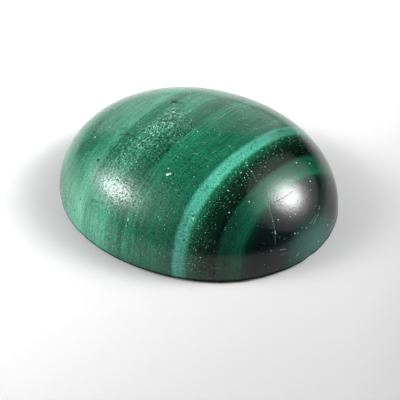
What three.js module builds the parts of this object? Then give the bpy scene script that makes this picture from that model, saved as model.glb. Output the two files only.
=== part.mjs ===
// An oval malachite cabochon: one solid stone, ground to a smooth high dome over a flat back, as cut for a bezel.
// Millimetres, +Z up. The origin is the middle of the flat back, X runs along the oval and Y across it.

import * as THREE from "three";

// The calibrated outline. A fullness of 2 is an exact ellipse, and a little more fills out the four shoulders.
const LENGTH = 12;
const WIDTH = 10;
const OUTLINE_FULLNESS = 2.05;

// The section, from the back up: a small bevel that takes off the sharp lower edge, a short upright girdle that a
// bezel's wall closes on, and the dome.
const HEIGHT = 3.88;
const BEVEL_HEIGHT = 0.1;
const BEVEL_INSET = 0.12;
const GIRDLE_TOP = 0.15;

// The dome is a superellipse from the girdle to the top: across flattens its crown, up keeps its wall upright.
const DOME_ACROSS = 2.34;
const DOME_UP = 2.14;

const STEPS_AROUND = 104;
const STEPS_UP = 30;

const MALACHITE_GREEN = 0x1c7a55;

// Half of the section as points of radius and height. The radius is measured towards the oval's end.
function sectionPoints() {
  const halfLength = LENGTH / 2;
  const points = [
    new THREE.Vector2(0, 0),
    new THREE.Vector2(halfLength - BEVEL_INSET, 0),
    new THREE.Vector2(halfLength, BEVEL_HEIGHT),
    new THREE.Vector2(halfLength, GIRDLE_TOP),
  ];
  const domeHeight = HEIGHT - GIRDLE_TOP;
  for (let step = 1; step < STEPS_UP; step++) {
    const angle = (step / STEPS_UP) * (Math.PI / 2);
    const radius = halfLength * Math.cos(angle) ** (2 / DOME_ACROSS);
    const rise = domeHeight * Math.sin(angle) ** (2 / DOME_UP);
    points.push(new THREE.Vector2(radius, GIRDLE_TOP + rise));
  }
  points.push(new THREE.Vector2(0, HEIGHT));
  return points;
}

// The sine or cosine of a circle's angle, bent to that of the fuller oval.
function filledOut(value) {
  return Math.sign(value) * Math.abs(value) ** (2 / OUTLINE_FULLNESS);
}

// Turns the round lathe shape into the oval one: each ring keeps its height and its share of the outline.
function shapeOval(geometry) {
  const position = geometry.getAttribute("position");
  for (let i = 0; i < position.count; i++) {
    const x = position.getX(i);
    const y = position.getY(i);
    const radius = Math.hypot(x, y);
    if (radius === 0) continue;
    position.setX(i, radius * filledOut(x / radius));
    position.setY(i, radius * filledOut(y / radius) * (WIDTH / LENGTH));
  }
  geometry.computeVertexNormals();
  return geometry;
}

function makeStone() {
  const turned = new THREE.LatheGeometry(sectionPoints(), STEPS_AROUND);
  turned.rotateX(Math.PI / 2);
  const polished = new THREE.MeshStandardMaterial({
    color: MALACHITE_GREEN,
    roughness: 0.2,
    metalness: 0,
  });
  const stone = new THREE.Mesh(shapeOval(turned), polished);
  stone.name = "cabochon";
  return stone;
}

const cabochon = new THREE.Group();
cabochon.add(makeStone());

export default cabochon;
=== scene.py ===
"""A polished oval malachite cabochon, lying on its flat back on a pale floor under soft studio light.

The stone is one closed surface: a dense domed grid with the real relief of a hand polish, closed below by a
girdle, a bevel and a flat ground back. Its bands are layers in the solid, which the dome cuts through.
Lengths called mm are millimetres. Blender's own are metres.
"""

import math

import bpy
import numpy as np
from mathutils import Matrix, Vector


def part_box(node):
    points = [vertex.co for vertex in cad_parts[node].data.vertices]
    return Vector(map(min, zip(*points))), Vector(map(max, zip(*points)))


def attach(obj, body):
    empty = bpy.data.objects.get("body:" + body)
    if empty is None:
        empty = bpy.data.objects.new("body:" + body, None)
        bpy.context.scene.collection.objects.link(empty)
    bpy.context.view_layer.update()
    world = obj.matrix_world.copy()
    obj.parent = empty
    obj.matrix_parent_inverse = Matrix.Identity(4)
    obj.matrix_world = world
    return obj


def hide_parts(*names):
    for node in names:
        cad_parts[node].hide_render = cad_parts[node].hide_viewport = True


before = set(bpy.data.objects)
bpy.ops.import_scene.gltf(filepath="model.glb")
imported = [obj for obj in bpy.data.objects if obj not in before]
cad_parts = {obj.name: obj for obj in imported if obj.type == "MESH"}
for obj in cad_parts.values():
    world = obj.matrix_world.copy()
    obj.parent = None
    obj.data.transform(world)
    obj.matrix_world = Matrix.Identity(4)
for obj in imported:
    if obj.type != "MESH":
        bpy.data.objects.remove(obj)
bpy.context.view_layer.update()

MM = 0.001
NODE = "cabochon"

# The stone's half length, half width and height, from the frame's box
BOX_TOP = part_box(NODE)[1]
HALF_LENGTH = BOX_TOP.x / MM
HALF_WIDTH = BOX_TOP.y / MM
HEIGHT = BOX_TOP.z / MM

# The exponents of the plan and of the dome's section, across and up
OUTLINE_FULLNESS = 2.05
DOME_ACROSS = 2.34
DOME_UP = 2.14

# The ground edge below the dome, in mm
GIRDLE_TOP = 0.15
GIRDLE_STEP = 0.02
BEVEL_HEIGHT = 0.1
BEVEL_INSET = 0.12
EDGE_ROUNDING = 0.012

# How many squares each side of the polished surface's grid has, and how many points the dome's section. TINY
# stands in for 0 where a division or a power can't take it.
GRID = 290
SECTION_POINTS = 4001
TINY = 1e-9

# The layers of the malachite: their normal's compass angle and tilt, and how they bow, per mm
LAYER_TURN = math.radians(-16.0)
LAYER_TILT = math.radians(-3.0)
BOW_ALONG = 0.0165
BOW_TWIST = -0.0168
BOW_UP = 0.0527

# How the layers wander: the grains to a mm of a noise, and how far it moves them in mm
WANDER = ((0.8, 0.05), (5.0, 0.02))

# Relief of the polish: the height and spacing of its ripples in mm, and the seed that draws them
WAVINESS = (0.0035, 2.6, 11)
ORANGE_PEEL = (0.0004, 0.42, 12)
CRACKLED_SKIN = (0.001, 0.2, 13)

# How many waves make a field of ripples, and between which shares of its spacing their lengths lie
WAVES = 48
WAVE_SHARES = (0.75, 1.4)

# The narrowest half width of a groove that the grid can carry, in mm
FINEST_GROOVE = 0.04

# Wear of the lower edge: its depth in mm, the spacing of its ripples in degrees and the seed that draws them
EDGE_WEAR = (0.004, 9.0, 14)

# Nicks in the lower edge: compass angle and half width in degrees, depth in mm
EDGE_NICKS = (
    (-18.4, 2.2, 0.045),
    (-38.5, 6.0, 0.03),
    (-58.0, 1.2, 0.02),
    (-127.0, 1.6, 0.02),
    (-152.0, 2.4, 0.03),
    (24.0, 1.8, 0.025),
    (71.0, 2.6, 0.02),
    (139.0, 1.5, 0.03),
)

# How high above the girdle the nicks run out, in mm, and how much of their depth they have on the bevel
NICKS_RUN_OUT = 0.5
NICKED_BEVEL = 0.7

# Marks in the polish: a line over the dome through plan positions in mm, its half width and depth in mm, and
# how far it holds pale polishing paste and dark dirt
MARKS = {
    "chip_beside_the_streaks": ([(-0.37, -2.58), (-0.26, -2.5)], 0.04, 0.012, 1.0, 0.0),
    "small_chip_above_it": ([(-0.43, -2.3)], 0.035, 0.005, 0.3, 0.0),
    "pit_in_the_band": ([(1.27, -3.74)], 0.05, 0.015, 0.0, 0.9),
    "lip_of_that_pit": ([(1.31, -3.82)], 0.04, 0.004, 1.0, 0.0),
    "low_pit": ([(1.15, -4.46)], 0.05, 0.012, 0.0, 0.8),
    "pit_by_the_left_edge": ([(-3.66, -2.21)], 0.075, 0.012, 0.0, 1.0),
    "dark_spot_at_the_top": ([(-1.8, 1.48), (-1.66, 1.5)], 0.11, 0.008, 0.0, 0.8),
    "tail_of_that_spot": ([(-1.76, 1.48), (-1.28, 1.48)], 0.06, 0.002, 0.0, 0.4),
    "pit_by_the_lamp": ([(-2.02, -1.37)], 0.06, 0.01, 0.0, 0.8),
    "pit_in_the_low_left": ([(-3.97, -3.44)], 0.05, 0.01, 0.0, 0.9),
    "smear_in_the_low_left": ([(-3.32, -3.66), (-3.12, -3.74)], 0.07, 0.003, 0.0, 0.3),
    "dark_cloud_on_the_left": ([(-4.68, -1.45), (-3.8, -1.0)], 0.36, 0.0, 0.0, 0.25),
    "dot_on_the_left": ([(-4.33, -0.97)], 0.04, 0.004, 0.5, 0.0),
    "short_crack": ([(-3.19, -1.0), (-2.92, -0.93), (-2.62, -1.0), (-2.38, -1.14)], 0.035, 0.004, 0.0, 0.7),
    "short_arc": ([(-3.31, -0.65), (-3.02, -0.58)], 0.035, 0.003, 0.0, 0.45),
    "long_pale_crack": (
        [(3.98, -1.95), (4.04, -2.08), (4.34, -2.39), (4.51, -2.61), (4.61, -2.86)], 0.018, 0.002, 0.07, 0.0,
    ),
    "knot_in_the_crack": ([(4.49, -2.58), (4.53, -2.63)], 0.035, 0.004, 0.3, 0.0),
    "curved_scratch": ([(2.65, -1.02), (2.86, -1.1), (3.06, -1.26), (3.18, -1.41)], 0.018, 0.002, 0.07, 0.0),
    "scratch_in_the_lamp": ([(4.09, -1.78), (4.35, -1.34), (4.55, -0.8)], 0.018, 0.002, 0.0, 0.45),
    "right_scratch_long": ([(5.51, -1.2), (5.59, -0.55)], 0.025, 0.002, 0.09, 0.0),
    "right_scratch_next": ([(5.6, -1.02), (5.63, -0.51)], 0.025, 0.002, 0.09, 0.0),
    "right_scratch_short": ([(5.56, -0.23), (5.6, -0.39)], 0.025, 0.002, 0.08, 0.0),
    "low_scratch": ([(4.82, -2.8), (4.98, -2.62)], 0.022, 0.002, 0.12, 0.0),
    "low_scratch_next": ([(4.85, -2.87), (5.03, -2.63)], 0.022, 0.002, 0.08, 0.0),
    "flick_on_the_crown": ([(1.48, -0.28), (1.63, -0.37)], 0.025, 0.002, 0.12, 0.0),
    "flick_on_the_left": ([(0.29, -1.29), (0.47, -1.24)], 0.025, 0.002, 0.12, 0.0),
    "low_dash_upper": ([(-1.42, -4.29), (-1.43, -4.34)], 0.026, 0.003, 0.45, 0.0),
    "low_dash_lower": ([(-1.45, -4.45), (-1.45, -4.48)], 0.022, 0.003, 0.3, 0.0),
    "left_dash": ([(-2.87, -4.2), (-2.86, -4.25)], 0.022, 0.003, 0.25, 0.0),
}

# Single pale dots, where a grain has fallen out of the dark layers and paste has filled the hole
PASTE_DOTS = (
    (4.93, 0.29), (4.57, 1.12), (4.17, 0.62), (5.94, -0.22), (5.16, -2.01), (5.25, -1.89), (4.83, -1.73),
    (4.48, -2.18), (2.51, -2.43), (2.63, -3.09), (3.22, -2.33), (2.46, -1.36), (2.82, -1.08), (2.55, -0.91),
    (2.27, -2.34), (1.94, -4.57),
)
DOT_HALF_WIDTH = 0.03
DOT_DEPTH = 0.003
DOT_PALENESS = 0.5

# A mark's colour starts this many half widths from its line and is full this many from it
MARK_EDGE = 1.5
MARK_CORE = 0.3

# The crackled patch: blobs of plan position, radius and strength
CRACKLE = (
    ((-1.35, 0.65), 0.45, 1.0),
    ((-1.3, 0.0), 0.6, 0.9),
    ((-0.65, 0.2), 0.5, 0.6),
    ((-1.7, -0.6), 0.6, 0.8),
    ((-0.9, -0.6), 0.55, 0.55),
    ((-1.95, -1.35), 0.5, 0.65),
    ((-1.4, -1.5), 0.6, 0.45),
    ((-2.4, -2.1), 0.9, 0.35),
)

# The colour ramps run from this depth to this one across the layers, in mm
DEEPEST = -7.0
SHALLOWEST = 7.0

# Colour by depth across the layers, from the left end of the view to the right
LAYERS = (
    # mid greens
    (-5.5, "#2b6a54"),
    (-3.8, "#27604b"),
    (-3.0, "#2a6751"),
    (-2.1, "#2f6c56"),
    # a deep green layer
    (-2.0, "#14563e"),
    (-1.6, "#0f4f3e"),
    # the paler layer under the crackled patch, and its dark far side
    (-1.5, "#1a5a46"),
    (-1.05, "#255f4b"),
    (-0.6, "#285f4d"),
    (-0.5, "#1b523e"),
    (-0.1, "#1a4c3b"),
    (0.25, "#0e3f2d"),
    # the wide deep green layer
    (0.35, "#19543f"),
    (2.45, "#134d38"),
    # the bright band
    (2.62, "#46977f"),
    (2.7, "#3f8a78"),
    (2.92, "#3e8d73"),
    # the first nearly black layer, green where it starts
    (3.05, "#0f4c33"),
    (3.35, "#08271a"),
    (3.95, "#030e0a"),
    # the ring
    (4.08, "#0b3125"),
    (4.65, "#0b3b2b"),
    # the black heart, and the green that comes up again at its foot
    (4.78, "#041f15"),
    (5.0, "#060d0c"),
    (5.6, "#060f0d"),
    (6.0, "#1f423a"),
)

# By depth: how many pale specks and how many dark pits there are, how streaked the layer is and how gritty
HABIT = (
    (-6.0, (0.15, 0.6, 2.1, 0.2)),
    (-2.0, (0.25, 0.95, 2.1, 0.35)),
    (-0.6, (0.25, 0.95, 1.7, 0.55)),
    (0.1, (0.2, 0.6, 1.5, 0.45)),
    (0.25, (0.15, 0.3, 3.0, 0.35)),
    (0.8, (0.12, 0.3, 2.0, 0.45)),
    (1.0, (0.15, 0.3, 1.2, 0.45)),
    (2.4, (0.15, 0.25, 1.2, 0.4)),
    (2.6, (0.01, 1.0, 0.8, 0.3)),
    (2.95, (0.1, 0.8, 0.8, 0.3)),
    (3.1, (0.8, 0.1, 0.9, 0.6)),
    (3.6, (0.3, 0.1, 0.9, 0.6)),
    (3.95, (0.12, 0.1, 0.9, 0.5)),
    (4.1, (0.05, 0.03, 1.3, 0.3)),
    (4.7, (0.05, 0.03, 1.3, 0.3)),
    (4.8, (0.03, 0.05, 0.6, 0.2)),
    (6.5, (0.04, 0.05, 0.6, 0.2)),
)

# How brightness changes along the layers: where along them the change starts and is full, the depths at which
# it starts and is full, and how much it is. The view's lower end is at -5. The first two rows brighten the
# left of the lower end as painted bounce light from the floor.
TRENDS = (
    (-2.2, -4.6, 1.5, -2.0, 0.45),
    (-4.1, -4.95, 1.4, -0.6, 0.6),
    (-3.2, -4.6, 0.8, 1.2, 0.12),
    (-2.6, -4.2, 1.7, 2.1, -0.2),
    (-3.0, -4.2, -2.4, -3.4, -0.32),
    (-0.5, 1.5, 0.5, 1.0, -0.15),
    (0.3, 2.8, 2.3, 2.7, -0.4),
    (0.3, 3.2, 3.9, 4.1, 0.35),
    (-2.4, -0.9, 3.95, 4.1, 0.65),
    (1.8, 3.2, 3.95, 4.1, -0.7),
)

# Noises in the stone: their grains to a mm, their detail, how they are squeezed across the layers and drawn
# out along them, and how curled they are. The finest are as coarse as the render needs to show them.
ALONG_LAYERS_BROAD = (4.0, 3.0, (1.0, 0.03, 0.03))
ALONG_LAYERS_HAIR = (13.0, 2.5, (1.0, 0.1, 0.1))
ALONG_LAYERS_SEAMS = (17.0, 1.0, (1.0, 0.02, 0.02))
CLOUDS = (1.3, 3.0)
MOTTLE = (5.0, 3.0)
GRAIN = (14.0, 2.0)
PASTE_PATCHES = (9.0, 2.0)
CURLS = (7.5, 2.0, (1.0, 0.7, 0.7), 0.6)

# The noise of the grinding marks on the back. Its squeeze is how many marks there are to a mm along and across
# the oval.
GRINDING_MARKS = (1.0, 3.0, (1.5, 22.0, 1.0))

# Pits and pale specks: how many cells to a mm they are dealt out in, their radius in mm and a seed
SMALL_PITS = (13.0, 0.034, 3.1)
LARGE_PITS = (3.5, 0.06, 5.3)
PALE_SPECKS = (14.0, 0.021, 7.7)

# How likely a large pit is, as a share of a small one's chance
LARGE_PIT_CHANCE = 0.3

# The smallest spot's share of its radius, the share of a spot that has its full colour, and the least strength
# of one
SMALLEST_SPOT = 0.6
SPOT_CORE = 0.6
WEAKEST_SPOT = 0.25

# The wobble that makes the spots ragged: its grains to a mm, its detail and how far it reaches, in mm
WOBBLE_GRAINS = 12.0
WOBBLE_DETAIL = 1.0
WOBBLE = 0.13

# The next lists are smooth steps over the stone: where each starts and is full, and what it runs from and to,
# if not 0 and 1. They go by the depth across the layers, the way along them or the height, in mm, or by the
# level of a noise.

# The coarse low left: its start along the layers, and its right and left side across them
COARSE_LOW = (-2.4, -4.0)
COARSE_RIGHT = (1.2, 0.2, 0.0, 0.35)
COARSE_LEFT = (-3.0, -2.0)
COARSE_STREAKS = 4.0

# Grit, which grows along the layers towards the view's lower end
GRIT_ALONG = (1.5, -2.0, 0.3, 1.0)

# The fine seams at the left side of the wide deep green layer
SEAMS_LEFT = (0.1, 0.25)
SEAMS_RIGHT = (0.95, 0.6, 0.0, 2.4)

# Painted bounce light from the floor over the lower left of the stone
BOUNCE_LIGHT_ALONG = (-2.7, -4.7)
BOUNCE_LIGHT_ACROSS = (0.6, -2.6, 0.04, 0.34)

# By depth: how much pale paste shows in the crackled patch, how dark the small pits look, which is darkest
# from the bright band on, and how high the grain stands in mm
CRACKLE_PASTE = (-0.4, -1.2, 0.4, 1.0)
PIT_DARKNESS = (2.45, 2.65, 0.3, 1.0)
GRAIN_HEIGHT = (2.0, -0.5, 0.004, 0.007)

# By height: the painted contact shade on the ground edge, the skin of the ground back and the softer polish
# low on the flank
EDGE_SHADE_HEIGHTS = (0.24, 0.14)
BACK_SKIN = 0.02
LOW_POLISH = (1.7, 0.5)

# By a noise's level: how strong the grit is, where the crackled patch has gaps and where it holds most paste,
# where its dark stone lies between the curls and its pale lines along them, how much paste is left in a mark,
# and which grain is too coarse to shine
GRIT_CONTRAST = (-0.2, 0.2, -1.0, 1.0)
CRACKLE_GAPS = (-0.2, 0.1, 0.5, 1.0)
PASTE_IN_GRAIN = (0.0, 0.12, 0.25, 1.0)
CURL_STONE = (0.045, 0.08)
CURL_LINES = (0.05, 0.02)
PASTE_LEFT = (-0.12, 0.06, 0.25, 1.0)
DULL_GRAIN = (-0.02, -0.16)

# Colours of what lies over the layers
# Painted bounce light from the floor
BOUNCE_LIGHT_TINT = "#77a590"
CRACKLE_STONE = "#012c1c"
CRACKLE_PALE = "#a6ebcb"
PIT = "#0d4a35"
LARGE_PIT = "#05251a"
SPECK = "#97d4b8"
DIRT = "#071a13"
PASTE = "#dff5ea"
# Painted contact shade for the ground edge
PAINTED_EDGE_SHADE = "#04100c"
CHALKY_BACK = "#7fae98"

# How rough the polish is at its best, how much the clouds vary it, and the refraction that sets its gloss
POLISH = 0.05
CLOUDED_POLISH = 0.05
GLOSS_IOR = 1.43

# The floor card: how wide it is, how far it lies below the stone, how far left of the view's back its painted
# shade is palest, the span over which the painted shade gets paler, and its painted shades
CARD = 200.0 * MM
CARD_GAP = 0.01 * MM
CARD_TURN = math.radians(40.0)
CARD_SPAN = (-16.0 * MM, 14.0 * MM)
CARD_PAINTED_SHADES = (0.3, 0.59)
CARD_ROUGHNESS = 0.9

# The pool of light painted on the card: its middle in mm to the right and to the back of the view, how far it
# reaches to the side and to the back as shares of its span, the span over which it falls off, and what from
# and to
PAINTED_POOL_MIDDLE = (-1.0, 4.0, 0.0)
PAINTED_POOL_REACH = (0.5, 1.65, 1.0)
PAINTED_POOL_SPAN = (15.0 * MM, 42.0 * MM)
PAINTED_POOL_SHADES = (1.0, 0.25)

# The lamps' distance in mm, and the grey of the room behind them
LAMP_DISTANCE = 500.0
ROOM_GREY = 0.02

# The view: its compass angle, its elevation in degrees, and in mm its distance, its width and where it aims
VIEW_TURN = math.radians(22.209)
VIEW_RIGHT = Vector((math.cos(VIEW_TURN), math.sin(VIEW_TURN), 0))
VIEW_FRONT = Vector((math.sin(VIEW_TURN), -math.cos(VIEW_TURN), 0))
VIEW_ELEVATION = 43.435
VIEW_DISTANCE = 300.0
VIEW_WIDTH = 16.917
AIM_RIGHT = 0.0523
AIM_UP = -0.0796
FILM_WIDTH = 36.0


def linear(hex_colour):
    """An sRGB hex colour as linear red, green, blue and an alpha of 1."""
    levels = [int(hex_colour[i:i + 2], 16) / 255 for i in (1, 3, 5)]
    return [v / 12.92 if v <= 0.04045 else ((v + 0.055) / 1.055) ** 2.4 for v in levels] + [1.0]


def add(tree, kind, *inputs, output=0, **settings):
    """Adds a node with its settings and links, and gives one of its outputs, or the node itself for None.

    The inputs stand in the node's own order, or in one dictionary under their names. Each is a number, a
    colour, a vector or another node's output to join.
    """
    made = tree.nodes.new(kind if kind.startswith("Node") else "ShaderNode" + kind)
    for name, value in settings.items():
        setattr(made, name, value)
    by_key = inputs[0] if inputs and isinstance(inputs[0], dict) else dict(enumerate(inputs))
    for key, value in by_key.items():
        if isinstance(value, bpy.types.NodeSocket):
            tree.links.new(value, made.inputs[key])
        else:
            made.inputs[key].default_value = value
    return made if output is None else made.outputs[output]


def filled_out(value):
    """The sine or cosine of a circle's angle, bent to that of the fuller oval."""
    return np.sign(value) * np.abs(value) ** (2 / OUTLINE_FULLNESS)


def oval_point(share, turn, height):
    """Points at a share of the oval's outline, in a compass direction, at a height. All in mm."""
    x = HALF_LENGTH * share * filled_out(np.cos(turn))
    y = HALF_WIDTH * share * filled_out(np.sin(turn))
    return np.stack([x, y, height + 0 * x], -1)


def disc_grid(steps):
    """A square grid pressed into a disc: each square ring becomes a circle. Gives radius 0 to 1 and angle."""
    side = np.linspace(-1, 1, steps + 1)
    a, b = np.meshgrid(side, side, indexing="ij")
    wide = np.abs(a) >= np.abs(b)
    safe_a = np.where(a == 0, 1, a)
    safe_b = np.where(b == 0, 1, b)
    radius = np.where(wide, a, b)
    angle = np.where(wide, np.pi / 4 * b / safe_a, np.pi / 2 - np.pi / 4 * a / safe_b)
    angle = np.where(radius < 0, angle + np.pi, angle)
    return np.abs(radius), angle


def dome_section(share):
    """Radius share and height of the dome's section at a share of its length from the crown to the girdle.

    The section is a superellipse: radius = cos(t) ** (2 / DOME_ACROSS), rise = sin(t) ** (2 / DOME_UP).
    """
    t = np.linspace(np.pi / 2, 0, SECTION_POINTS)
    radius = np.cos(t) ** (2 / DOME_ACROSS)
    radius[0] = 0
    height = GIRDLE_TOP + (HEIGHT - GIRDLE_TOP) * np.sin(t) ** (2 / DOME_UP)
    mean_half = (HALF_LENGTH + HALF_WIDTH) / 2
    length = np.concatenate([[0], np.cumsum(np.hypot(np.diff(radius) * mean_half, np.diff(height)))])
    length /= length[-1]
    return np.interp(share, length, radius), np.interp(share, length, height)


def dome_normal(points):
    """The outward normal of the dome: the slope of share ** DOME_ACROSS + rise ** DOME_UP."""
    x, y, z = points[..., 0], points[..., 1], points[..., 2]
    n = OUTLINE_FULLNESS
    sum_n = (np.abs(x) / HALF_LENGTH) ** n + (np.abs(y) / HALF_WIDTH) ** n
    share = np.maximum(sum_n, TINY) ** (1 / n)
    steep = DOME_ACROSS * share ** (DOME_ACROSS - n)
    gx = steep * np.sign(x) * np.abs(x) ** (n - 1) / HALF_LENGTH ** n
    gy = steep * np.sign(y) * np.abs(y) ** (n - 1) / HALF_WIDTH ** n
    rise = np.clip((z - GIRDLE_TOP) / (HEIGHT - GIRDLE_TOP), 0, 1)
    gz = DOME_UP * rise ** (DOME_UP - 1) / (HEIGHT - GIRDLE_TOP)
    normal = np.stack([gx, gy, gz], -1)
    return normal / np.linalg.norm(normal, axis=-1, keepdims=True)


def on_dome(x, y):
    """The point of the dome above a plan position, in mm.

    Rise = (1 - share ** DOME_ACROSS) ** (1 / DOME_UP), where the share is the plan's, from middle to outline.
    """
    n = OUTLINE_FULLNESS
    share = ((abs(x) / HALF_LENGTH) ** n + (abs(y) / HALF_WIDTH) ** n) ** (1 / n)
    rise = max(1 - share ** DOME_ACROSS, 0.0) ** (1 / DOME_UP)
    return np.array([x, y, GIRDLE_TOP + (HEIGHT - GIRDLE_TOP) * rise])


def distance_to(points, path):
    """The distance in mm from each point to a line that runs over the dome through plan positions."""
    corners = [on_dome(x, y) for x, y in path]
    nearest = np.linalg.norm(points - corners[0], axis=-1)
    for start, end in zip(corners[:-1], corners[1:]):
        step = end - start
        along = np.clip((points - start) @ step / (step @ step), 0, 1)
        nearest = np.minimum(nearest, np.linalg.norm(points - start - along[..., None] * step, axis=-1))
    return nearest


def all_marks():
    """Every mark and paste dot: path, half width, depth, paleness and darkness."""
    dots = [([dot], DOT_HALF_WIDTH, DOT_DEPTH, DOT_PALENESS, 0.0) for dot in PASTE_DOTS]
    return [*MARKS.values(), *dots]


def ripples(points, height, spacing, seed):
    """A smooth random field with a height as its spread: the sum of cosine waves in seeded directions."""
    rng = np.random.default_rng(seed)
    total = np.zeros(points.shape[:-1])
    for _ in range(WAVES):
        direction = rng.normal(size=3)
        direction *= 2 * np.pi / (np.linalg.norm(direction) * spacing * rng.uniform(*WAVE_SHARES))
        total += np.cos(points @ direction + rng.uniform(0, 2 * np.pi))
    return height * total * math.sqrt(2 / WAVES)


def relief(points):
    """How far the polish stands off the true dome, in mm, and where it is crackled, from 0 to 1.

    Crackle = each blob's strength times exp(-(distance / radius) ** 4), the largest of them. Height = slow
    waviness of a hand polish + orange peel + crackled skin times crackle - each mark's depth times
    exp(-(distance / half width) ** 2).
    """
    height = ripples(points, *WAVINESS) + ripples(points, *ORANGE_PEEL)
    crackle = np.zeros(points.shape[:-1])
    for centre, radius, strength in CRACKLE:
        crackle = np.maximum(crackle, strength * np.exp(-(distance_to(points, [centre]) / radius) ** 4))
    height += crackle * ripples(points, *CRACKLED_SKIN)
    for path, half_width, depth, _, _ in all_marks():
        groove = max(half_width, FINEST_GROOVE)
        height -= depth * np.exp(-(distance_to(points, path) / groove) ** 2)
    return height, crackle


def nicks(turn):
    """How far the lower edge is worn and chipped back at each compass angle, in mm.

    Depth = wear with ripples + each nick's depth times exp(-(degrees from its middle / half width) ** 2).
    """
    degrees = np.degrees(turn)
    depth = EDGE_WEAR[0] + ripples(np.stack([degrees, 0 * degrees, 0 * degrees], -1), *EDGE_WEAR)
    for middle, half_width, most in EDGE_NICKS:
        away = (degrees - middle + 180) % 360 - 180
        depth = depth + most * np.exp(-(away / half_width) ** 2)
    return depth


def stone_mesh():
    """The closed surface of the stone.

    The dome is the disc grid lifted onto the section. Rings that follow its outer edge then make the girdle,
    the bevel and the flat back, which ends in one point at the middle.
    """
    radius, angle = disc_grid(GRID)
    share, height = dome_section(radius)
    dome = oval_point(share, angle, height)
    rough, crackle = relief(dome)

    # The nicks run up into the foot of the dome, and over the lowest third of that the relief fades out
    above_edge = np.clip((height - GIRDLE_TOP) / NICKS_RUN_OUT, 0, 1)
    rough = rough * np.clip(above_edge * 3, 0, 1) - nicks(angle) * (1 - above_edge) ** 2
    dome = dome + rough[..., None] * dome_normal(dome)

    index = np.arange((GRID + 1) ** 2).reshape(GRID + 1, GRID + 1)
    quads = np.stack([index[:-1, :-1], index[1:, :-1], index[1:, 1:], index[:-1, 1:]], -1).reshape(-1, 4)
    edge = np.concatenate([index[:-1, 0], index[-1, :-1], index[:0:-1, -1], index[0, :0:-1]])
    edge_turn = angle.reshape(-1)[edge]

    # Each ring's share of the outline, its height and inset in mm, and how much of the nicks' depth it takes.
    # The bevel's two edges are rounded by rings at shares of their rounding.
    r = EDGE_ROUNDING
    rings = [
        (1.0, GIRDLE_TOP - GIRDLE_STEP, 0.0, 1.0),
        (1.0, BEVEL_HEIGHT + r, 0.0, 1.0),
        (1.0, BEVEL_HEIGHT + r * 0.3, r * 0.15, 1.0),
        (1.0, BEVEL_HEIGHT - r * 0.6, r * 0.8, NICKED_BEVEL),
        (1.0, r * 0.8, BEVEL_INSET - r * 0.9, NICKED_BEVEL),
        (1.0, r * 0.2, BEVEL_INSET - r * 0.1, NICKED_BEVEL),
        (1.0, 0.0, BEVEL_INSET + r, NICKED_BEVEL),
        (0.93, 0.0, BEVEL_INSET, 0.0),
        (0.8, 0.0, 0.0, 0.0),
        (0.55, 0.0, 0.0, 0.0),
        (0.25, 0.0, 0.0, 0.0),
    ]
    rows = []
    chipped = nicks(edge_turn)
    for ring_share, z, inset, nicked in rings:
        row = oval_point(ring_share, edge_turn, z)
        out = row[:, :2] / np.linalg.norm(row[:, :2], axis=1, keepdims=True)
        row[:, :2] -= out * (inset + chipped * nicked)[:, None]
        rows.append(row)
    count = len(edge)
    start = (GRID + 1) ** 2
    ring_index = start + np.arange(len(rings) * count).reshape(len(rings), count)
    loops = np.concatenate([edge[None], ring_index])
    following = np.roll(loops, -1, axis=1)
    sides = np.stack([loops[:-1], loops[1:], following[1:], following[:-1]], -1).reshape(-1, 4)
    middle = start + len(rings) * count
    fan = np.stack([loops[-1], np.full(count, middle), following[-1]], -1)

    points = np.concatenate([dome.reshape(-1, 3), *rows, [[0, 0, 0]]])
    mesh = bpy.data.meshes.new("polished_stone")
    mesh.from_pydata(points * MM, [], [*quads.tolist(), *sides.tolist(), *fan.tolist()])
    mesh.validate()
    mesh.update()
    mesh.polygons.foreach_set("use_smooth", np.ones(len(mesh.polygons), bool))
    crackled = np.concatenate([crackle.reshape(-1), np.zeros(len(points) - start)])
    mesh.attributes.new("crackle", "FLOAT", "POINT").data.foreach_set("value", crackled)
    return mesh


def faded(tree, value, *steps):
    """A value times smooth steps, each a measure, where it starts and is full, and what it runs from and to.

    Step = from + (to - from) * s * s * (3 - 2 * s), where s is how far the measure has come, from 0 to 1.
    """
    for step in steps:
        rise = add(tree, "MapRange", *step, interpolation_type="SMOOTHSTEP")
        value = add(tree, "Math", rise, value, operation="MULTIPLY")
    return value


def summed(tree, total, *terms):
    """A total and, added to it, each value times its weight."""
    for value, weight in terms:
        total = add(tree, "Math", value, weight, total, operation="MULTIPLY_ADD")
    return total


def tinted(tree, colour, *tints):
    """A colour under hex tints, laid on one after the other, each as strong as its two amounts multiplied."""
    for amount, strength, tint in tints:
        share = add(tree, "Math", amount, strength, operation="MULTIPLY")
        mixed = {"Factor": share, "A": colour, "B": linear(tint)}
        colour = add(tree, "Mix", mixed, output="Result", data_type="RGBA")
    return colour


def pattern(tree, place, grains, detail, squeeze=(1.0, 1.0, 1.0), curl=0.0):
    """Fractal noise about 0, up to about 0.5 each way. The grains are how many it has to a mm, unsqueezed."""
    squeezed = add(tree, "VectorMath", place, squeeze, operation="MULTIPLY")
    noise = {"Vector": squeezed, "Scale": grains, "Detail": detail, "Distortion": curl}
    return add(tree, "Math", add(tree, "TexNoise", noise), 0.5, operation="SUBTRACT")


def by_depth(tree, depth, stops):
    """What a list says at a depth: a hex colour, or four plain levels, of which the fourth is an alpha."""
    share = add(tree, "MapRange", depth, DEEPEST, SHALLOWEST)
    ramp = add(tree, "ValToRGB", share, output=None)
    while len(ramp.color_ramp.elements) < len(stops):
        ramp.color_ramp.elements.new(0.5)
    for stop, (stop_depth, value) in zip(ramp.color_ramp.elements, stops):
        stop.position = (stop_depth - DEEPEST) / (SHALLOWEST - DEEPEST)
        stop.color = linear(value) if isinstance(value, str) else value
    return ramp.outputs


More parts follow.
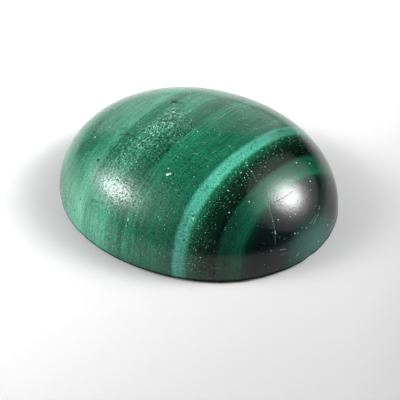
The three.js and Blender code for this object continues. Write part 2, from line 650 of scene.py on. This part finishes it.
def layer_place(tree, place):
    """Where a place lies in the layers, in mm: depth, along and up as one vector, then depth and along alone.

    Depth = the distance across the tilted layers + the bows times the squares and the product of the two ways
    along them + two noises, which let the layers wander a little.
    """
    layers = add(
        tree, "Mapping",
        {"Vector": place, "Rotation": (0, -LAYER_TILT, LAYER_TURN), "Scale": (MM, MM, MM)},
        vector_type="TEXTURE",
    )
    depth, along, up = add(tree, "SeparateXYZ", layers, output=None).outputs
    for one, two, bow in ((along, along, BOW_ALONG), (along, up, BOW_TWIST), (up, up, BOW_UP)):
        product = add(tree, "Math", one, two, operation="MULTIPLY")
        depth = summed(tree, depth, (product, bow))
    for grains, reach in WANDER:
        depth = summed(tree, depth, (pattern(tree, layers, grains, 1.0), reach))
    return add(tree, "CombineXYZ", depth, along, up), depth, along


def scattered(tree, place, chance, cells_to_a_mm, radius, seed):
    """Round spots, one to a cell of a Voronoi pattern in those cells that the chance picks, some stronger.

    A spot's half width = the radius times SMALLEST_SPOT to twice that. Its strength = WEAKEST_SPOT + what is
    left to 1 times the square of a random share.
    """
    moved = add(tree, "VectorMath", place, (seed, seed, seed), operation="ADD")
    cells = add(tree, "TexVoronoi", {"Vector": moved, "Scale": cells_to_a_mm}, output=None).outputs
    pick, size, force = add(tree, "SeparateColor", cells["Color"], output=None).outputs
    picked = add(tree, "Math", pick, chance, operation="LESS_THAN")
    smallest = SMALLEST_SPOT * radius * cells_to_a_mm
    reach = summed(tree, smallest, (size, smallest))
    core = add(tree, "Math", reach, SPOT_CORE, operation="MULTIPLY")
    spot = faded(tree, picked, (cells["Distance"], reach, core))
    squared = add(tree, "Math", force, force, operation="MULTIPLY")
    strength = summed(tree, WEAKEST_SPOT, (squared, 1 - WEAKEST_SPOT))
    return add(tree, "Math", spot, strength, operation="MULTIPLY")


def line_group():
    """A node group: how near a place is to a straight line, from 0 at a mark's edge to 1 in its core.

    The line's nearest point = its start + the line times how far along it the place lies, from 0 to 1.
    """
    group = bpy.data.node_groups.new("near_a_line", "ShaderNodeTree")
    for name, kind in (("Place", "Vector"), ("Start", "Vector"), ("End", "Vector"), ("Half Width", "Float")):
        group.interface.new_socket(name=name, in_out="INPUT", socket_type="NodeSocket" + kind)
    group.interface.new_socket(name="Near", in_out="OUTPUT", socket_type="NodeSocketFloat")
    place, start, end, half_width, *_ = add(group, "NodeGroupInput", output=None).outputs
    offset = add(group, "VectorMath", place, start, operation="SUBTRACT")
    line = add(group, "VectorMath", end, start, operation="SUBTRACT")
    reach = add(group, "VectorMath", offset, line, output="Value", operation="DOT_PRODUCT")
    square = add(group, "VectorMath", line, line, output="Value", operation="DOT_PRODUCT")
    never_zero = add(group, "Math", square, TINY, operation="ADD")
    part = add(group, "Math", reach, never_zero, operation="DIVIDE", use_clamp=True)
    foot = add(group, "VectorMath", {0: line, "Scale": part}, operation="SCALE")
    away = add(group, "VectorMath", offset, foot, output="Value", operation="DISTANCE")
    edge = add(group, "Math", half_width, MARK_EDGE, operation="MULTIPLY")
    core = add(group, "Math", half_width, MARK_CORE, operation="MULTIPLY")
    add(group, "NodeGroupOutput", {"Near": faded(group, 1.0, (away, edge, core))}, output=None)
    return group


def marks_of(tree, place):
    """Where the marks hold pale paste and dark dirt, each from 0 to 1."""
    group = line_group()
    totals = [0.0, 0.0]
    for path, half_width, _, pale, dark in all_marks():
        corners = [tuple(on_dome(x, y)) for x, y in path]
        for start, end in zip(corners[:-1] or corners, corners[1:] or corners):
            line = {"Place": place, "Start": start, "End": end, "Half Width": half_width}
            near = add(tree, "Group", line, node_tree=group)
            for index, strength in enumerate((pale, dark)):
                if strength:
                    held = add(tree, "Math", near, strength, operation="MULTIPLY")
                    totals[index] = add(tree, "Math", held, totals[index], operation="MAXIMUM")
    return totals


def new_material(name):
    """A material without nodes, and its node tree."""
    material = bpy.data.materials.new(name)
    material.use_nodes = True
    material.node_tree.nodes.clear()
    return material, material.node_tree


def make_malachite():
    """Polished malachite: opaque and finely layered in greens, with the gloss that a soft stone takes.

    The layers are colour in depth, streaked along themselves, with grain, pits and pale specks. The same
    streaks and pits stand a little proud or sunk in the polish, so that they break up the lamps' reflections.
    """
    material, tree = new_material("polished_malachite")
    place = add(tree, "TexCoord", output="Object")
    mm = add(tree, "Mapping", {"Vector": place, "Scale": (MM, MM, MM)}, vector_type="TEXTURE")
    height_mm = add(tree, "SeparateXYZ", mm, output="Z")
    layered, depth, along = layer_place(tree, place)
    colour = by_depth(tree, depth, LAYERS)[0]
    habit, grittiness = by_depth(tree, depth, HABIT)
    specks, pits, streaking = add(tree, "SeparateColor", habit, output=None).outputs

    # The low left is coarser, in grit and in streaks
    coarseness = faded(tree, 1.0, (along, *COARSE_LOW), (depth, *COARSE_RIGHT), (depth, *COARSE_LEFT))
    grittiness = summed(tree, faded(tree, grittiness, (along, *GRIT_ALONG)), (coarseness, 1.0))
    streaking = summed(tree, streaking, (coarseness, COARSE_STREAKS))

    # Streaks along the layers, broad and hair fine, fine seams, soft clouds, a mottling and grit all vary the
    # brightness, each by its weight, and the layers are brighter towards one end than the other; at the lower
    # left that is painted bounce light from the floor
    broad = pattern(tree, layered, *ALONG_LAYERS_BROAD)
    hair = pattern(tree, layered, *ALONG_LAYERS_HAIR)
    seams = pattern(tree, layered, *ALONG_LAYERS_SEAMS)
    clouds = pattern(tree, mm, *CLOUDS)
    mottle = pattern(tree, mm, *MOTTLE)
    grain = pattern(tree, mm, *GRAIN)
    grit = faded(tree, 1.0, (grain, *GRIT_CONTRAST))
    level = 1.0
    for along_start, along_full, depth_start, depth_full, most in TRENDS:
        change = faded(tree, most, (depth, depth_start, depth_full), (along, along_start, along_full))
        level = summed(tree, level, (change, 1.0))
    level = summed(
        tree, level,
        (broad, 0.8),
        (hair, summed(tree, 0.0, (streaking, 0.65))),
        (seams, faded(tree, 1.0, (depth, *SEAMS_LEFT), (depth, *SEAMS_RIGHT))),
        (clouds, 0.5),
        (mottle, summed(tree, 0.0, (grittiness, 0.7))),
        (grit, summed(tree, 0.0, (grittiness, 0.9))),
    )
    colour = add(tree, "VectorMath", {0: colour, "Scale": level}, operation="SCALE")

    # Painted bounce light from the floor towards the lower left, in streaks of its own
    painted_bounce_light = faded(tree, 1.0, (along, *BOUNCE_LIGHT_ALONG), (depth, *BOUNCE_LIGHT_ACROSS))
    colour = tinted(tree, colour, (painted_bounce_light, summed(tree, 1.0, (hair, 2.2)), BOUNCE_LIGHT_TINT))

    # The crackled patch: pale paste in fine curling lines, the contours of a noise, between dark stone
    curls = add(tree, "Math", pattern(tree, layered, *CURLS), operation="ABSOLUTE")
    crackle = add(tree, "Attribute", output="Fac", attribute_name="crackle")
    crackle = faded(tree, crackle, (mottle, *CRACKLE_GAPS))
    bright = faded(tree, 1.0, (grain, *PASTE_IN_GRAIN), (depth, *CRACKLE_PASTE))
    colour = tinted(
        tree, colour,
        (faded(tree, crackle, (curls, *CURL_STONE)), 0.9, CRACKLE_STONE),
        (faded(tree, crackle, (curls, *CURL_LINES)), bright, CRACKLE_PALE),
    )

    # Pits and pale specks, ragged because a fine noise wobbles their places
    fine = {"Vector": mm, "Scale": WOBBLE_GRAINS, "Detail": WOBBLE_DETAIL}
    wobble = add(tree, "TexNoise", fine, output="Color")
    ragged = add(tree, "VectorMath", wobble, (WOBBLE, WOBBLE, WOBBLE), mm, operation="MULTIPLY_ADD")
    holes = scattered(tree, ragged, pits, *SMALL_PITS)
    large_holes = scattered(tree, ragged, summed(tree, 0.0, (pits, LARGE_PIT_CHANCE)), *LARGE_PITS)
    flecks = scattered(tree, ragged, specks, *PALE_SPECKS)

    # Dirt and paste in the marks. The ground edge under the polish is darkened with painted contact shade, and
    # the ground back is pale along its grinding marks.
    paste, dirt = marks_of(tree, mm)
    paste = faded(tree, paste, (pattern(tree, mm, *PASTE_PATCHES), *PASTE_LEFT))
    # edge is painted contact shade low on the stone, where it meets the floor
    edge = faded(tree, 1.0, (height_mm, *EDGE_SHADE_HEIGHTS), (height_mm, 0.0, BACK_SKIN))
    back = faded(tree, 1.0, (height_mm, BACK_SKIN, 0.0))
    grinding = pattern(tree, mm, *GRINDING_MARKS)
    colour = tinted(
        tree, colour,
        (holes, faded(tree, 1.0, (depth, *PIT_DARKNESS)), PIT),
        (large_holes, 1.0, LARGE_PIT),
        (flecks, 0.9, SPECK),
        (dirt, 1.0, DIRT),
        (paste, 1.0, PASTE),
        (edge, 0.75, PAINTED_EDGE_SHADE),
        (back, summed(tree, 0.22, (grinding, 0.8)), CHALKY_BACK),
    )

    # What the polish missed doesn't shine: the pits, the coarsest grain, the ground edge and the ground back
    dull = add(tree, "Math", edge, back, operation="MAXIMUM")
    coarse = faded(tree, grittiness, (grain, *DULL_GRAIN))
    for missed in (summed(tree, 0.0, (holes, 2.0)), large_holes, dirt, coarse):
        dull = add(tree, "Math", dull, missed, operation="MAXIMUM", use_clamp=True)
    shine = summed(tree, 0.5, (dull, -0.5))

    # The roughness, which is the polish's where the clouds are at their least, and what adds to it
    rough = summed(
        tree, POLISH + CLOUDED_POLISH / 2,
        (clouds, CLOUDED_POLISH),
        (crackle, 0.06),
        (paste, 0.4),
        (flecks, 0.2),
        (dull, 0.3),
        (faded(tree, 1.0, (height_mm, *LOW_POLISH)), 0.08),
    )

    # Heights in mm of what stands proud or sunk
    relief_mm = summed(
        tree, 0.0,
        (hair, 0.0005),
        (grain, faded(tree, 1.0, (depth, *GRAIN_HEIGHT))),
        (holes, -0.004),
        (dirt, -0.003),
        (add(tree, "Math", curls, crackle, operation="MULTIPLY"), -0.003),
        (faded(tree, grinding, (height_mm, GIRDLE_TOP, BEVEL_HEIGHT)), 0.006),
    )
    bump = add(tree, "Bump", {"Strength": 1.0, "Distance": MM, "Height": relief_mm})

    finish = {"Roughness": rough, "IOR": GLOSS_IOR, "Specular IOR Level": shine}
    shader = add(tree, "BsdfPrincipled", {"Base Color": colour, "Normal": bump, **finish})
    add(tree, "OutputMaterial", {"Surface": shader}, output=None)
    return material


def make_floor():
    """A wide sheet of matt white card, painted paler towards the left of the back of the view.

    An oval pool of light is painted on it, which reaches furthest to the back and falls off round the stone.
    """
    half = CARD / 2
    mesh = bpy.data.meshes.new("floor")
    corners = [(-half, -half, 0), (half, -half, 0), (half, half, 0), (-half, half, 0)]
    mesh.from_pydata(corners, [], [(0, 1, 2, 3)])
    floor = bpy.data.objects.new("floor", mesh)
    floor.location.z = -CARD_GAP
    bpy.context.collection.objects.link(floor)
    card, tree = new_material("matt_card_painted_light")
    place = add(tree, "TexCoord", output="Object")
    turned = add(tree, "Mapping", {"Vector": place, "Rotation": (0, 0, -VIEW_TURN - CARD_TURN)})
    to_the_back = add(tree, "SeparateXYZ", turned, output="Y")
    middle = Matrix.Rotation(VIEW_TURN, 3, "Z") @ Vector(PAINTED_POOL_MIDDLE) * MM
    oval = {"Vector": place, "Location": middle, "Rotation": (0, 0, VIEW_TURN), "Scale": PAINTED_POOL_REACH}
    painted_pool = add(tree, "Mapping", oval, vector_type="TEXTURE")
    away = add(tree, "VectorMath", painted_pool, output="Value", operation="LENGTH")
    # The card's colour carries painted light: it is painted paler towards the left of the back, and a painted
    # pool of light falls off away from the stone
    painted_shade = faded(tree, 1.0, (to_the_back, *CARD_SPAN, *CARD_PAINTED_SHADES), (away, *PAINTED_POOL_SPAN, *PAINTED_POOL_SHADES))
    grey = add(tree, "CombineXYZ", painted_shade, painted_shade, painted_shade)
    shader = add(tree, "BsdfPrincipled", {"Base Color": grey, "Roughness": CARD_ROUGHNESS})
    add(tree, "OutputMaterial", {"Surface": shader}, output=None)
    mesh.materials.append(card)


def toward(turn, elevation):
    """The direction at a compass angle from the viewer's side, to the right, and an elevation, in degrees."""
    t, e = math.radians(turn), math.radians(elevation)
    level = VIEW_FRONT * math.cos(t) + VIEW_RIGHT * math.sin(t)
    return level * math.cos(e) + Vector((0, 0, math.sin(e)))


def make_camera():
    """A long lens, far enough off that the stone has almost no perspective."""
    data = bpy.data.cameras.new("camera")
    data.sensor_width = FILM_WIDTH
    data.lens = FILM_WIDTH * VIEW_DISTANCE / VIEW_WIDTH
    data.clip_start = 0.01
    data.clip_end = 10
    camera = bpy.data.objects.new("camera", data)
    back = toward(0, VIEW_ELEVATION)
    up = back.cross(VIEW_RIGHT)
    place = (back * VIEW_DISTANCE + VIEW_RIGHT * AIM_RIGHT + up * AIM_UP) * MM
    turn = Matrix((VIEW_RIGHT, up, back)).transposed().to_4x4()
    camera.matrix_world = Matrix.Translation(place) @ turn
    bpy.context.collection.objects.link(camera)
    bpy.context.scene.camera = camera


def make_lamp(
    name, shape, turn, elevation, size,
    core=0.0, reach=(100, 100), falloff=2.0, rest=0.0, middle=(0, 0), roll=0.0,
):
    """A lamp behind a flat diffuser that faces the stone. Sizes and reaches are in mm, across and up.

    Its radiance is core / (1 + (distance from the glow's middle / reach) ** falloff) + rest. The middle is
    given as shares of the size, and the roll is how far the lamp is turned on its stand, in degrees. At the
    power set here the lamp shines as brightly as its cloth.
    """
    data = bpy.data.lights.new(name, "AREA")
    data.shape = shape
    data.size = size[0] * MM
    data.size_y = size[1] * MM
    data.energy = math.pi * data.size * data.size_y * (math.pi / 4 if shape == "ELLIPSE" else 1.0)
    data.use_nodes = True
    tree = data.node_tree
    tree.nodes.clear()

    # A place on the lamp runs from 0 to 1 each way, so the lamp's middle is at 0.5
    spot = add(tree, "NewGeometry", output="Parametric")
    glow_middle = (0.5 + middle[0], 0.5 + middle[1], 0.0)
    centred = add(tree, "VectorMath", spot, glow_middle, operation="SUBTRACT")
    reaches = (size[0] / reach[0], size[1] / reach[1], 0.0)
    measured = add(tree, "VectorMath", centred, reaches, operation="MULTIPLY")
    away = add(tree, "VectorMath", measured, output="Value", operation="LENGTH")
    steep = add(tree, "Math", away, falloff, operation="POWER")
    under = add(tree, "Math", steep, 1.0, operation="ADD")
    glow = add(tree, "Math", core, under, operation="DIVIDE")
    level = add(tree, "Math", glow, rest, operation="ADD")
    cloth = add(tree, "Emission", {"Strength": level})
    add(tree, "OutputLight", {"Surface": cloth}, output=None)

    light = bpy.data.objects.new(name, data)
    direction = toward(turn, elevation)
    facing = direction.to_track_quat("Z", "Y").to_matrix().to_4x4()
    rolled = facing @ Matrix.Rotation(math.radians(roll), 4, "Z")
    light.matrix_world = Matrix.Translation(direction * LAMP_DISTANCE * MM) @ rolled
    light.visible_camera = False
    bpy.context.collection.objects.link(light)


def make_room():
    """The dark room round the table."""
    world = bpy.data.worlds.new("room")
    world.use_nodes = True
    world.node_tree.nodes["Background"].inputs["Color"].default_value = (ROOM_GREY, ROOM_GREY, ROOM_GREY, 1)
    bpy.context.scene.world = world


stone = bpy.data.objects.new("polished_stone", stone_mesh())
bpy.context.collection.objects.link(stone)
stone.data.materials.append(make_malachite())
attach(stone, "root")
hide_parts(NODE)

make_floor()
make_camera()
make_room()
make_lamp(
    "right_round_softbox", "ELLIPSE", 93.5, 35.0, (800, 710),
    core=32.0, reach=(100, 106), falloff=3.7, rest=0.5, middle=(0.003, 0.033),
)
make_lamp(
    "left_round_softbox", "ELLIPSE", -84, 38, (800, 720),
    core=41.0, reach=(80, 68), falloff=2.9, rest=0.1, middle=(-0.05, -0.025), roll=20,
)
make_lamp(
    "backdrop", "RECTANGLE", 185, 20.5, (545, 375),
    core=0.45, reach=(5000, 230), falloff=4.0, rest=0.85, middle=(0, -0.5),
)
bpy.context.scene.view_settings.view_transform = "Standard"
